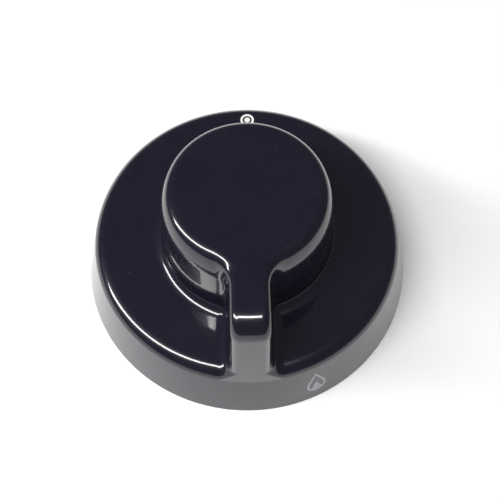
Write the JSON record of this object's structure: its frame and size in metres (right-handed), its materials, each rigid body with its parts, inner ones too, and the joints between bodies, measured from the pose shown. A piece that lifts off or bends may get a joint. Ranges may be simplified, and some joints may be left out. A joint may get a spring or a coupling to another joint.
{
  "type": "stove knob",
  "caption": "Black moulded control knob for a cooker, with a round head, a pointer bar and a flared skirt, that pushes onto a D shaped spindle.",
  "frame": {"origin": "centre of the skirt's lower rim, in the plane that faces the cooker's panel", "axes": "+Z along the spindle away from the panel, -Y along the pointer bar towards its nose, +X to the right seen from the front with the bar towards the viewer"},
  "size_m": [0.06, 0.0601, 0.029],
  "materials": {
    "body_plastic": "glossy near-black moulded thermoset plastic, lightly handled",
    "spring_steel": "bright rolled spring steel",
    "mark_paint": "thin off-white printed ink",
    "symbol_ink": "thin pale grey printed ink"
  },
  "bodies": {
    "root": {"knob_body": "body_plastic", "spindle_spring": "spring_steel", "off_mark": "mark_paint", "flame_symbol": "symbol_ink"}
  },
  "joints": []
}
